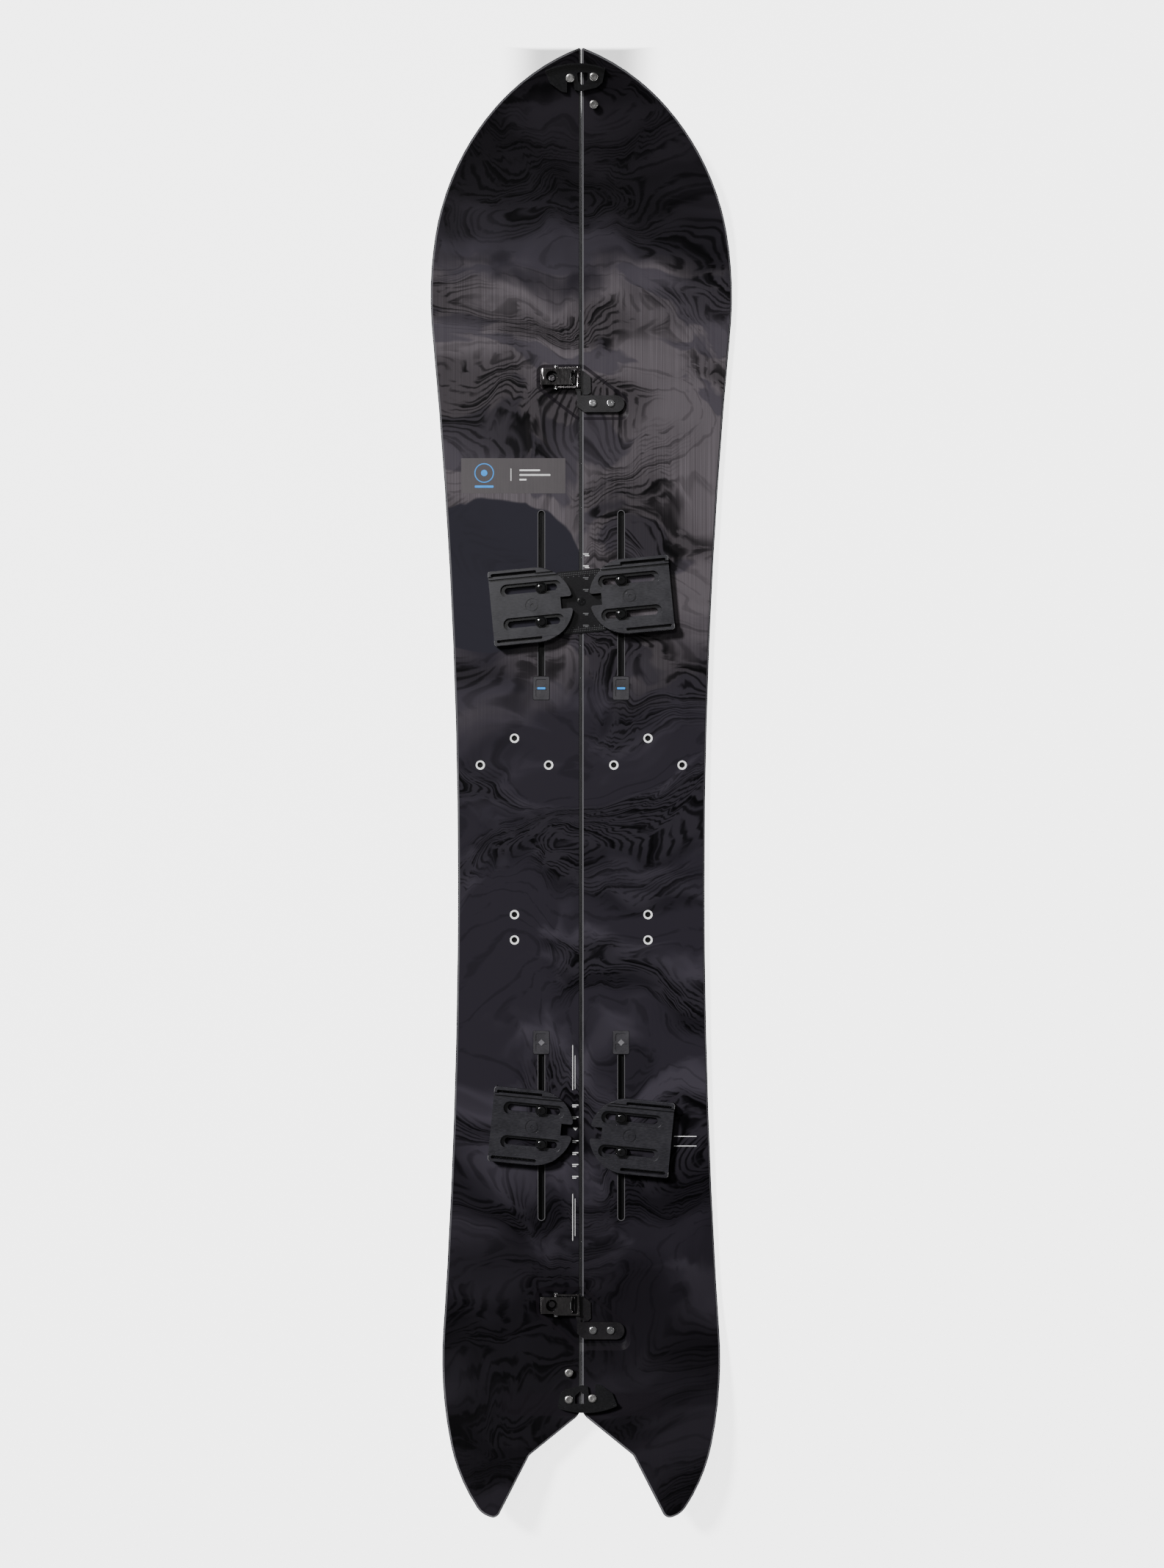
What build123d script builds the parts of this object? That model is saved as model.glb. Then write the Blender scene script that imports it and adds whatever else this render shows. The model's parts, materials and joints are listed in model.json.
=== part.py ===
from build123d import *
from math import asin, cos, degrees, radians, sqrt, tan
import os

# A splitboard: a snowboard cut down its middle into two skis, which two tip clips,
# two interlock latches and the bindings' pucks hold together.
# X is to the right, Y runs from the swallow tail to the nose, Z is up.
# The origin is on the ground, on the seam, midway between nose and tail.

# ---------------------------------------------------------------- board outline
seam_gap = 0.6
waist = (131.8, -104)
front_outline_stops = [(159.5, 485), (155.6, 585.5), (101, 702.3), (0, 771.1)]
rear_outline_stops = [(147.3, -582.4), (137.7, -698.3), (109.6, -759.8), (88, -770)]
tail_inner_corner = (54.8, -708.7)
notch_apex_y = -667
tail_tip_radius = 8
tail_corner_radius = 10
notch_apex_radius = 16
nose_corner_radius = 2

# ---------------------------------------------------------------- board side profile
thickness = 8.0
tip_ratio = 0.7
nose_slope = 16.5
nose_knee = 606.6
nose_straight_from = 728
tail_slope = 12
tail_knee = 568.7
tail_straight_from = 636
profile_reach = 830

# ---------------------------------------------------------------- board layers
base_top = 1.8
core_top = 6.6
laminate_top = 7.2
edge_width = 2.2
sidewall_width = 6.0
laminate_inset = 1.0
topsheet_inset = 2.2
# Where the base, edge, sidewall and core are divided into butting lengths, so that
# each length is nearly straight: in even steps round both bends, and twice along the sidecut.
length_joints = (-636, -579, -521, -180, 150, 495, 553, 611, 670, 728)

# ---------------------------------------------------------------- channels
channel_x = 42.6
channel_length = 177
front_channel_inner_y = 115
rear_channel_inner_y = -289
rail_width = 16
rail_bottom = 2.6
neck_width = 8.2
slot_width = 6.6
cavity_width = 12.6
cavity_bottom = 3.4
cavity_top = 6.2
rail_end_wall = 3
plug_width = 18
plug_length = 25.5
head_wall = 1.3
fit_gap = 0.1
plug_chamfer = 0.5
plug_tray_depth = 0.6
plug_tray_wall = 3
plug_rib_width = 3

# ---------------------------------------------------------------- threaded inserts
insert_radius = 4.9
insert_flange_radius = 8
insert_flange_height = 1.0
insert_thread_radius = 3.0
insert_line_x = 71.3
insert_base_half = 36.5
insert_apex_y = 48.8
insert_base_y = 20.2
insert_heel_ys = (-139.6, -166.7)
insert_mouth_chamfer = 0.4

# ---------------------------------------------------------------- pucks and their bolts
stance_angle = 5.5
front_stance_y = 195
rear_stance_y = -370
slide_gap = 0.3
bolt_spacing = 36.2
bolt_radius = 3.0
washer_radius = 6.4
washer_height = 1.2
bolt_head_radius = 5.2
bolt_head_height = 4.0
bolt_socket_radius = 2.1
nut_length = 12
nut_width = 12
nut_bottom = 3.7
nut_top = 5.9
puck_outer_u = -53.5
puck_half_width = 40
puck_nose_centre_u = -6
puck_plate_top = 16.5
puck_rail_top = 21
puck_ridge_top = 19
puck_recess_floor = 11.8
puck_slot_v = 18
puck_slot_centre_u = -9.5
puck_slot_width = 7.2
puck_slot_length = 56
puck_recess_width = 13.6
puck_recess_length = 65
puck_ridge_v = 31
puck_groove_v = 35.2
puck_groove_width = 3.2
puck_flange_overhang = 2.2
puck_flange_bottom = 15.5
puck_notch_width = 12.6
puck_notch_from_u = 21
puck_relief_from_u = 2.5
puck_relief_top = 10.4
puck_ring_radius = 7.5
puck_ring_width = 2
puck_ring_depth = 0.6
puck_top_chamfer = 0.6
puck_corner_radius = 3

# ---------------------------------------------------------------- stance template
template_width = 48
template_length = 67
template_height = 0.8
template_hole_radius = 3

# ---------------------------------------------------------------- tip clips
clip_pivot_x = 13.1
clip_post_offset = (-24.8, -1.2)
clip_stud_offset = (0, -27.4)
nose_clip_y = 742.4
tail_clip_y = -652.8
clip_bottom = 0.4
clip_top = 3.6
clip_rim_top = 7.6
clip_step_top = 5.4
clip_rim_width = 1.7
clip_rim_ends = ((-51.3, 6.1), (-20, 13.3), (12.2, 8.2))
pivot_radius = 3.0
post_radius = 2.2
running_gap = 0.05
stud_head_radius = 4.5
stud_depth = 3.9
pivot_head_bottom = 3.9
post_head_bottom = 4.0
stud_head_height = 2.4
stud_socket_radius = 1.9
clip_outline = (
    (9, -6), (3, -10.8), (-14.5, -14.6), (-19.8, -13),
    (-28, -15.8), (-33.5, -15), (-46, -6.5),
)
clip_corner_radius = 1.5
clip_seat_gap = 0.9
clip_window = ((-6.3, 4.2), (-17.4, 4.2), (-16.2, -5), (-12, -8.4), (-6.5, -3.6))
clip_window_corner = 1.2
clip_throat_x = (-28, -21.8)
clip_throat_mouth_x = (-28, -18.6)
clip_throat_depth = -22

# ---------------------------------------------------------------- interlock latches
nose_latch_y = 418.5
tail_latch_y = -570.5
dish_depth = 1.2
dish_wall_run = 4.0
dish_rise = 2.0
latch_v = 15
base_plate_height = 1.6
base_plate_half_width = 8.4
lever_pivot_x = -12
lever_pivot_z = 4.8
pin_radius = 1.6
ear_radius = 3.1
ear_foot_front = 2.6
ear_inner = 4.7
ear_outer = 6.5
lever_wall_inner = 7.0
lever_wall_outer = 8.6
lever_top = 10
lever_skin = 1.6
lever_lobe_radius = 3.3
lever_wall_bottom = 1.4
lever_right = -10
lever_bite_radius = 5.5
lever_left = -44
lever_window_x = -31.3
lever_window_radius = 6.2
hook_pivot_x = -27
hook_pivot_z = 3.2
hook_rivet_radius = 1.5
hook_eye_radius = 2.6
hook_arm_inner = 9.1
hook_arm_outer = 11.1
hook_arm_height = 3.0
hook_bar_x = -3.5
hook_bar_z = 4.4
hook_bar_radius = 1.7
keeper_web_bottom = 0.8
keeper_top = 2.2
keeper_lip_x = (-7.8, -6.1)
keeper_lip_top = 4.9
keeper_lip_half_width = 8.0
keeper_pad_y = (-21.5, -3.6)
keeper_pad_x = (-4.4, 46)
cross_gap = 0.4
keeper_screw_xs = (12.3, 31.2)
keeper_screw_y = -12.0
latch_screw_radius = 2.5
latch_screw_depth = 3.9
base_screw_xs = (-31.3, -20.5)
screw_head_radius = 4.2
screw_head_height = 2.0
screw_socket_radius = 1.6
rivet_head_radius = 2.3
rivet_head_height = 1.1
hook_corner_radius = 2.2
hook_corner_rise = 0.3
dish_corners = ((-48, 30), (3, 30), (51, -6), (51, -30), (-4, -30), (-48, 4))
dish_corner_radius = 9
base_plate_middle_x = -21.5
base_plate_length = 41
base_plate_corner = 4
tongue_far_side = ((2, 23), (10, 17), (10.4, 0), (7, -2.6), (2.5, -2.6))
tongue_corner = 1.4

SIDES = {"left": -1, "right": 1}


# ================================================================ small helpers
def rod(radius, low, high, x=0, y=0):
    """An upright round bar between two heights."""
    return Pos(x, y, low) * Cylinder(radius, high - low, align=(Align.CENTER, Align.CENTER, Align.MIN))


def block(x_range, y_range, z_range):
    """A block between two corners."""
    size = [high - low for low, high in (x_range, y_range, z_range)]
    middle = [(high + low) / 2 for low, high in (x_range, y_range, z_range)]
    return Pos(*middle) * Box(*size)


def cross_rod(radius, x, z, y_range):
    """A round bar that lies along Y."""
    low, high = y_range
    return Pos(x, (low + high) / 2, z) * Rot(X=90) * Cylinder(radius, high - low)


def raised(sketch, low, high):
    """A flat sketch made solid between two heights."""
    return Pos(0, 0, low) * extrude(sketch, high - low)


def domed_head(radius, low, height, socket_radius):
    """A low domed screw head with a hexagon socket."""
    head = rod(radius, low, low + height)
    top_rim = head.edges().group_by(Axis.Z)[-1]
    head = fillet(top_rim, height * 0.6)
    socket = Pos(0, 0, low + height * 0.45) * extrude(RegularPolygon(socket_radius, 6), height)
    return head - socket


def placed(frame, shape):
    """A piece, or a group of separate solids, moved to where it belongs."""
    if isinstance(shape, list):
        return Compound(children=[frame * solid for solid in shape])
    return frame * shape


def tangent_arcs(start, direction, stops):
    """Arcs through the stops, each leaving along the last one's end direction."""
    arcs = []
    for stop in stops:
        arc = TangentArc(start, stop, tangent=direction)
        direction = arc % 1
        start = stop
        arcs.append(arc)
    return arcs


# ================================================================ side profile
def bend_shape(height, knee, slope, straight_from):
    """Knee, tangent length and radius of the bend that one level line makes."""
    angle = radians(slope)
    level_knee = knee + (height - height * tip_ratio / cos(angle)) / tan(angle)
    tangent = (straight_from - level_knee) / cos(angle)
    return level_knee, tangent, tangent / tan(angle / 2)


def level_line(height):
    """The side view of one layer boundary, from beyond the tail to beyond the nose."""
    nose_at, _, nose_radius = bend_shape(height, nose_knee, nose_slope, nose_straight_from)
    tail_at, _, tail_radius = bend_shape(height, tail_knee, tail_slope, tail_straight_from)
    nose_rise = (profile_reach - nose_at) * tan(radians(nose_slope))
    tail_rise = (profile_reach - tail_at) * tan(radians(tail_slope))
    points = [
        (-profile_reach, height + tail_rise),
        (-tail_at, height),
        (nose_at, height),
        (profile_reach, height + nose_rise),
    ]
    return FilletPolyline(*points, radius=[tail_radius, nose_radius])


def band(low, high):
    """Everything between two levels, over the whole width."""
    lower = level_line(low)
    upper = level_line(high)
    ends = [Line(lower @ 1, upper @ 1), Line(upper @ 0, lower @ 0)]
    face = make_face([*lower.edges(), *upper.edges(), *ends])
    return extrude(Plane.YZ * face, 200, both=True)


def top_frame(x, y):
    """A frame on the top face: its XY plane touches the face, its Y runs towards the nose."""
    if y > 0:
        shape = (nose_knee, nose_slope, nose_straight_from)
    else:
        shape = (tail_knee, tail_slope, tail_straight_from)
    knee, tangent, radius = bend_shape(thickness, *shape)
    slope, straight_from = shape[1:]
    past_flat = max(0, abs(y) - (knee - tangent))
    if abs(y) < straight_from:
        tilt = asin(past_flat / radius)
        height = thickness + radius * (1 - cos(tilt))
    else:
        tilt = radians(slope)
        height = thickness + (abs(y) - knee) * tan(tilt)
    sense = 1 if y > 0 else -1
    return Location((x, y, height)) * Rot(X=sense * degrees(tilt))


# ================================================================ plan outline
def half_outline(side):
    """The plan of one ski, with its seam edge half a gap from the middle."""
    front = tangent_arcs(waist, (0, 1), front_outline_stops)
    rear = tangent_arcs(waist, (0, -1), rear_outline_stops)
    seam = ((0, notch_apex_y), (0, front_outline_stops[-1][1]))
    inner = Polyline(rear_outline_stops[-1], tail_inner_corner, *seam)
    face = make_face([*(arc.edge() for arc in front + rear), *inner.edges()])
    face = face - Rectangle(seam_gap, 2 * profile_reach)
    face = fillet(face.vertices().sort_by_distance(rear_outline_stops[-1])[0], tail_tip_radius)
    face = fillet(face.vertices().sort_by_distance(tail_inner_corner)[0], tail_corner_radius)
    face = fillet(face.vertices().sort_by_distance((0, notch_apex_y))[0], notch_apex_radius)
    face = fillet(face.vertices().sort_by_distance(front_outline_stops[-1])[0], nose_corner_radius)
    return face if side > 0 else mirror(face, Plane.YZ)


def layer(face, low, high):
    """The part of one level band that a plan face covers."""
    return band(low, high) & raised(face, -5, 120)


def in_lengths(shape):
    """One layer divided square across at every joint, as separate butting solids."""
    stops = (-profile_reach, *length_joints, profile_reach)
    lengths = []
    for low, high in zip(stops, stops[1:]):
        stretch = block((-profile_reach, profile_reach), (low, high), (-profile_reach, profile_reach))
        lengths.extend((shape & stretch).solids())
    return lengths


# ================================================================ cuts in the board
def dish(lowered):
    """The sloping-sided recess round one latch, in the latch's own frame."""
    floor = make_face(FilletPolyline(*dish_corners, radius=dish_corner_radius, close=True).edges())
    floor = offset(floor, -dish_wall_run)
    spread = dish_wall_run * (dish_depth + dish_rise) / dish_depth
    rim = offset(floor, spread)
    solid = loft([Pos(0, 0, -dish_depth) * floor, Pos(0, 0, dish_rise) * rim])
    return Pos(0, 0, -lowered) * solid


def both_dishes(lowered):
    """The recesses of the nose and tail latches."""
    nose = top_frame(0, nose_latch_y) * dish(lowered)
    tail = top_frame(0, tail_latch_y) * dish(lowered)
    return nose + tail


def channel_frames():
    """Name of each channel with the frame at its slot's inner end, Y running outwards."""
    frames = {}
    for side_name, side in SIDES.items():
        frames["front_" + side_name] = Pos(side * channel_x, front_channel_inner_y, 0)
        frames["rear_" + side_name] = Pos(side * channel_x, rear_channel_inner_y, 0) * Rot(Z=180)
    return frames


def slot_plan(width, start, end, corner):
    """A long rounded rectangle along Y."""
    shape = Pos(0, (start + end) / 2) * RectangleRounded(width, end - start, corner)
    return shape


def rail_plan():
    """Outline of a channel rail: a narrow run with a wider head round the plug."""
    run = slot_plan(rail_width, -plug_length / 2, channel_length + rail_end_wall, 3)
    head = slot_plan(plug_width + 2 * head_wall, -plug_length - rail_end_wall, rail_end_wall, 2)
    return run + head


def channel_pocket():
    """What the core and the laminate lose to one rail."""
    return raised(rail_plan(), rail_bottom, 2 * thickness)


def channel_mouth():
    """What the topsheet loses to one rail: its neck and its plug."""
    neck = slot_plan(neck_width, -plug_length / 2, channel_length + (neck_width - slot_width) / 2, 4)
    plug = slot_plan(plug_width, -plug_length, 0, 2)
    return raised(neck + plug, 0, 2 * thickness)


def insert_places(side):
    """Plan positions of one ski's five threaded inserts."""
    line = side * insert_line_x
    toe = [(line, insert_apex_y)]
    toe += [(line + sense * insert_base_half, insert_base_y) for sense in (-1, 1)]
    heel = [(line, y) for y in insert_heel_ys]
    return toe + heel


def clip_frames():
    """The pivot frame of each tip clip; the tail's is turned half round."""
    nose = top_frame(clip_pivot_x, nose_clip_y)
    tail = top_frame(-clip_pivot_x, tail_clip_y) * Rot(Z=180)
    return {"nose": nose, "tail": tail}


def latch_frames():
    """The frame of each interlock latch, on the seam."""
    return {"nose": top_frame(0, nose_latch_y), "tail": top_frame(0, tail_latch_y)}


def fastener_holes(side):
    """Holes for the studs and screws that stand in one ski."""
    holes = []
    for end, frame in clip_frames().items():
        pivot_side = 1 if end == "nose" else -1
        if side == pivot_side:
            holes.append(frame * rod(pivot_radius, -stud_depth, thickness))
            holes.append(frame * rod(post_radius, -stud_depth, thickness, *clip_stud_offset))
        else:
            holes.append(frame * rod(post_radius, -stud_depth, thickness, *clip_post_offset))
    for frame in latch_frames().values():
        places = [(x, keeper_screw_y) for x in keeper_screw_xs]
        if side < 0:
            places = [(x, latch_v) for x in base_screw_xs]
        for place in places:
            holes.append(frame * rod(latch_screw_radius, -latch_screw_depth, thickness, *place))
    return holes


# ================================================================ board pieces
def board_half(side_name):
    """The bonded layers of one ski."""
    side = SIDES[side_name]
    outline = half_outline(side)
    channels = [frame for name, frame in channel_frames().items() if name.endswith(side_name)]
    pockets = [frame * channel_pocket() for frame in channels]
    mouths = [frame * channel_mouth() for frame in channels]
    barrels = [rod(insert_radius, 0, 2 * thickness, x, y) for x, y in insert_places(side)]
    flange_top = base_top + insert_flange_height
    flanges = [rod(insert_flange_radius, base_top, flange_top, x, y) for x, y in insert_places(side)]
    holes = fastener_holes(side)
    topsheet_drop = thickness - laminate_top
    laminate_drop = thickness - core_top
    open_dishes = both_dishes(0)
    sheet_dishes = both_dishes(topsheet_drop)
    core_dishes = both_dishes(laminate_drop)

    base_face = offset(outline, -edge_width)
    core_face = offset(outline, -sidewall_width)
    laminate_face = offset(outline, -laminate_inset)
    topsheet_face = offset(outline, -topsheet_inset)

    base = layer(base_face, 0, base_top)
    steel_edge = layer(outline - base_face, 0, base_top)
    sidewall = layer(outline - core_face, base_top, core_top) - core_dishes
    core = layer(core_face, base_top, core_top) - core_dishes - pockets - barrels - flanges - holes
    laminate_block = layer(laminate_face, base_top, laminate_top)
    laminate = layer(laminate_face, core_top, laminate_top) + (laminate_block & core_dishes)
    laminate = laminate - sheet_dishes - pockets - barrels - holes
    topsheet_block = layer(topsheet_face, base_top, thickness)
    topsheet = layer(topsheet_face, laminate_top, thickness) + (topsheet_block & sheet_dishes)
    topsheet = topsheet - open_dishes - mouths - barrels - holes
    whole = Pos(0, 0, 0)
    return {
        side_name + "_base_sheet": placed(whole, in_lengths(base)),
        side_name + "_steel_edge": placed(whole, in_lengths(steel_edge)),
        side_name + "_sidewall": placed(whole, in_lengths(sidewall)),
        side_name + "_wood_core": placed(whole, in_lengths(core)),
        side_name + "_upper_laminate": laminate,
        side_name + "_topsheet": topsheet,
    }


def channel_rail():
    """One T-slot rail, in its channel frame."""
    body = raised(rail_plan(), rail_bottom, laminate_top)
    neck = slot_plan(neck_width - fit_gap, -2, channel_length + (neck_width - slot_width) / 2 - fit_gap, 4)
    body = body + raised(neck, laminate_top - 1, thickness)
    cavity = slot_plan(cavity_width, -plug_length / 2, channel_length, 2)
    slot = slot_plan(slot_width, -plug_length / 2, channel_length, 3.2)
    head_pocket = slot_plan(plug_width, -plug_length, 0, 2)
    body = body - raised(cavity, cavity_bottom, cavity_top)
    body = body - raised(slot, cavity_bottom, 2 * thickness)
    return body - raised(head_pocket, cavity_bottom, 2 * thickness)


def channel_plug():
    """The cap that closes a rail's loading end, with a raised rib across it."""
    plan = slot_plan(plug_width - 2 * fit_gap, -plug_length + fit_gap, -fit_gap, 2)
    body = raised(plan, cavity_bottom + fit_gap, thickness)
    body = chamfer(body.edges().group_by(Axis.Z)[-1], plug_chamfer)
    tray_width = plug_width - 2 * plug_tray_wall
    tray_plan = slot_plan(tray_width, -plug_length + plug_tray_wall, -plug_tray_wall, 2)
    tray = raised(tray_plan, thickness - plug_tray_depth, 2 * thickness)
    rib = Pos(0, -plug_length / 2) * Rectangle(tray_width, plug_rib_width)
    return body - tray + raised(rib, thickness - 2 * plug_tray_depth, thickness - fit_gap)


def threaded_inserts(side):
    """One ski's five flanged inserts with M6 holes."""
    solids = []
    for x, y in insert_places(side):
        barrel = rod(insert_radius, base_top, thickness)
        flange = rod(insert_flange_radius, base_top, base_top + insert_flange_height)
        bore = rod(insert_thread_radius, base_top + insert_flange_height, 2 * thickness)
        body = barrel + flange - bore
        mouth = body.edges().group_by(Axis.Z)[-1].sort_by(SortBy.RADIUS)[0]
        solids.append(Pos(x, y, 0) * chamfer(mouth, insert_mouth_chamfer))
    return solids


# ================================================================ pucks
def puck_frames():
    """Frame of each puck at its bolt pair's middle, X pointing to the seam."""
    frames = {}
    lean = tan(radians(stance_angle))
    stances = (("front", front_stance_y, stance_angle), ("rear", rear_stance_y, -stance_angle))
    for end, stance_y, turn in stances:
        for side_name, side in SIDES.items():
            middle_y = stance_y + side * channel_x * lean * (1 if turn > 0 else -1)
            half_turn = 0 if side < 0 else 180
            frames[end + "_" + side_name] = Pos(side * channel_x, middle_y, 0) * Rot(Z=turn + half_turn)
    return frames


def bolt_frames():
    """Frame of each bolt pair: at the puck's middle, but square to the channel."""
    return {name: Pos(frame.position.X, frame.position.Y, 0) for name, frame in puck_frames().items()}


def puck_plan():
    """A rectangle that ends in a half circle towards the seam, with a square notch in it."""
    tail_length = puck_nose_centre_u - puck_outer_u
    back = Pos(puck_outer_u + tail_length / 2, 0) * Rectangle(tail_length, 2 * puck_half_width)
    nose = Pos(puck_nose_centre_u, 0) * Circle(puck_half_width)
    plan = back + nose
    plan = fillet(plan.vertices().group_by(Axis.X)[0], puck_corner_radius)
    notch_end = puck_nose_centre_u + puck_half_width + 5
    notch = Rectangle(notch_end - puck_notch_from_u, puck_notch_width)
    notch = Pos((puck_notch_from_u + notch_end) / 2, 0) * notch
    plan = plan - notch
    mouth = plan.vertices().group_by(Axis.X)[-1]
    return fillet(mouth, 2.5)


def puck_groove(v):
    """The long pocket that runs down the middle of one side rail."""
    start = puck_outer_u + 3
    end = puck_nose_centre_u + 4
    plan = Pos((start + end) / 2, v) * SlotOverall(end - start, puck_groove_width)
    return raised(plan, puck_recess_floor, 2 * puck_rail_top)


def puck_bolt_slot(v):
    """A stepped slot: wide for the washer above, narrow for the bolt below."""
    centre = Pos(puck_slot_centre_u, v)
    wide = centre * SlotOverall(puck_recess_length, puck_recess_width)
    narrow = centre * SlotOverall(puck_slot_length, puck_slot_width)
    cut = raised(wide, puck_recess_floor, 2 * puck_rail_top)
    return cut + raised(narrow, 0, 2 * puck_rail_top)


def puck():
    """One puck, in its own frame: a plate with two flanged, grooved side rails."""
    plan = puck_plan()
    bottom = thickness + slide_gap
    body = raised(plan, bottom, puck_plate_top)
    for sense in (-1, 1):
        rail_area = Pos(0, sense * (puck_ridge_v + 20)) * Rectangle(200, 40)
        flange_area = Pos(0, sense * (puck_groove_v - puck_groove_width / 2 + 20)) * Rectangle(200, 40)
        body = body + raised(plan & rail_area, puck_plate_top - 1, puck_ridge_top)
        body = body + raised(plan & flange_area, puck_ridge_top - 1, puck_rail_top)
    body = chamfer(body.edges().group_by(Axis.Z)[-1], puck_top_chamfer)
    waist_plan = offset(plan, -puck_flange_overhang)
    undercut_area = Rectangle(300, 300) - Rectangle(300, 2 * puck_ridge_v)
    undercut = raised(undercut_area - waist_plan, bottom - 1, puck_flange_bottom)
    back_keep = Pos(puck_outer_u, 0) * Rectangle(2 * puck_flange_overhang, 300)
    body = body - (undercut - raised(back_keep, 0, 2 * puck_rail_top))
    for sense in (-1, 1):
        body = body - puck_groove(sense * puck_groove_v) - puck_bolt_slot(sense * puck_slot_v)
    relief = block((puck_relief_from_u, 2 * puck_half_width), (-60, 60), (0, puck_relief_top))
    ring = Circle(puck_ring_radius) - Circle(puck_ring_radius - puck_ring_width) + Circle(puck_ring_width)
    ring = Pos(puck_slot_centre_u, 0) * ring
    return body - relief - raised(ring, puck_plate_top - puck_ring_depth, 2 * puck_plate_top)


def puck_bolts():
    """The two bolts of one puck, each with its washer."""
    washer_bottom = puck_recess_floor + slide_gap
    washer_top = washer_bottom + washer_height
    solids = []
    for y in (-bolt_spacing / 2, bolt_spacing / 2):
        washer_hole = rod(bolt_radius + fit_gap, 0, 2 * washer_top)
        washer = rod(washer_radius, washer_bottom, washer_top) - washer_hole
        shank = rod(bolt_radius, nut_bottom, washer_top)
        head = domed_head(bolt_head_radius, washer_top, bolt_head_height, bolt_socket_radius)
        solids.append(Pos(0, y, 0) * washer)
        solids.append(Pos(0, y, 0) * (shank + head))
    return solids


def channel_nuts():
    """The two T-nuts that one puck's bolts screw into."""
    solids = []
    for y in (-bolt_spacing / 2, bolt_spacing / 2):
        nut = raised(RectangleRounded(nut_width, nut_length, 1.5), nut_bottom, nut_top)
        bore = rod(bolt_radius + running_gap, 0, 2 * nut_top)
        solids.append(Pos(0, y, 0) * (nut - bore))
    return solids


def stance_template():
    """The thin plate between the front pucks; it rests on the left ski and clears the right one."""
    plan = Rot(Z=stance_angle) * RectangleRounded(template_width, template_length, 3)
    hole = Circle(template_hole_radius)
    plate = raised(plan, thickness, thickness + template_height)
    plate = plate - raised(hole, 0, 2 * thickness)
    relief = block((-seam_gap / 2, 60), (-60, 60), (0, thickness + slide_gap))
    return Pos(0, front_stance_y, 0) * (plate - relief)


# ================================================================ tip clips
def clip_plan():
    """Outline of a tip clip: an arched back, a rounded heel and a slot that takes the post."""
    back = ThreePointArc(*clip_rim_ends)
    rest = Polyline(clip_rim_ends[2], *clip_outline, clip_rim_ends[0])
    plan = make_face([back.edge(), *rest.edges()])
    plan = fillet(plan.vertices(), clip_corner_radius)
    post_x, post_y = clip_post_offset
    seat = Pos(post_x, post_y) * Circle(post_radius + clip_seat_gap)
    throat_line = Polyline(
        (clip_throat_x[0], post_y), (clip_throat_mouth_x[0], clip_throat_depth),
        (clip_throat_mouth_x[1], clip_throat_depth), (clip_throat_x[1], post_y), close=True,
    )
    throat = make_face(throat_line.edges())
    window = make_face(Polyline(*clip_window, close=True).edges())
    window = fillet(window.vertices(), clip_window_corner)
    return plan - seat - throat - window - Circle(pivot_radius + running_gap)


def rim_strip(plan, width):
    """The strip of the clip's plan along its arched back."""
    back = ThreePointArc(*clip_rim_ends).edge()
    inner = Pos(back.arc_center.X, back.arc_center.Y) * Circle(back.radius - width)
    return plan - inner


def tip_clip():
    """One rotating tip clip, in its pivot frame."""
    plan = clip_plan()
    body = raised(plan, clip_bottom, clip_top)
    body = body + raised(rim_strip(plan, 2 * clip_rim_width), clip_bottom, clip_step_top)
    return body + raised(rim_strip(plan, clip_rim_width), clip_bottom, clip_rim_top)


def clip_pivot_bolt():
    """The shouldered bolt that a tip clip turns on."""
    shank = rod(pivot_radius, -stud_depth, pivot_head_bottom)
    return shank + domed_head(stud_head_radius, pivot_head_bottom, stud_head_height, stud_socket_radius)


def headed_stud():
    """A headed stud for a clip's slot to hook on."""
    shank = rod(post_radius, -stud_depth, post_head_bottom)
    return shank + domed_head(stud_head_radius, post_head_bottom, stud_head_height, stud_socket_radius)


# ================================================================ interlock latches
def latch_base():
    """Base plate on the left ski with two pivot ears and a tongue that laps the right ski."""
    floor = -dish_depth
    top = floor + base_plate_height
    y_low = latch_v - base_plate_half_width
    y_high = latch_v + base_plate_half_width
    plate = RectangleRounded(base_plate_length, 2 * base_plate_half_width, base_plate_corner)
    plate = Pos(base_plate_middle_x, latch_v) * plate
    tongue_line = Polyline((-4, y_low + 1), (-4, y_high - 1), *tongue_far_side, close=True)
    tongue = fillet(make_face(tongue_line.edges()).vertices(), tongue_corner)
    body = raised(plate + tongue, floor, top)
    body = body - block((-seam_gap, 20), (-30, 40), (-10, floor + cross_gap))
    for sense in (-1, 1):
        inner = latch_v + sense * ear_inner
        outer = latch_v + sense * ear_outer
        span = (min(inner, outer), max(inner, outer))
        ear_x = (lever_pivot_x - ear_radius, lever_pivot_x + ear_foot_front)
        foot = block(ear_x, span, (top - 0.5, lever_pivot_z))
        body = body + foot + cross_rod(ear_radius, lever_pivot_x, lever_pivot_z, span)
    body = body - cross_rod(pin_radius, lever_pivot_x, lever_pivot_z, (y_low, y_high))
    for x in base_screw_xs:
        body = body - rod(latch_screw_radius, -thickness, thickness, x, latch_v)
    return body


def latch_screws(xs, y, seat_height):
    """Two domed screws in a row."""
    solids = []
    for x in xs:
        shank = rod(latch_screw_radius, -latch_screw_depth, seat_height)
        screw = shank + domed_head(screw_head_radius, seat_height, screw_head_height, screw_socket_radius)
        solids.append(Pos(x, y, 0) * screw)
    return solids


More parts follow.
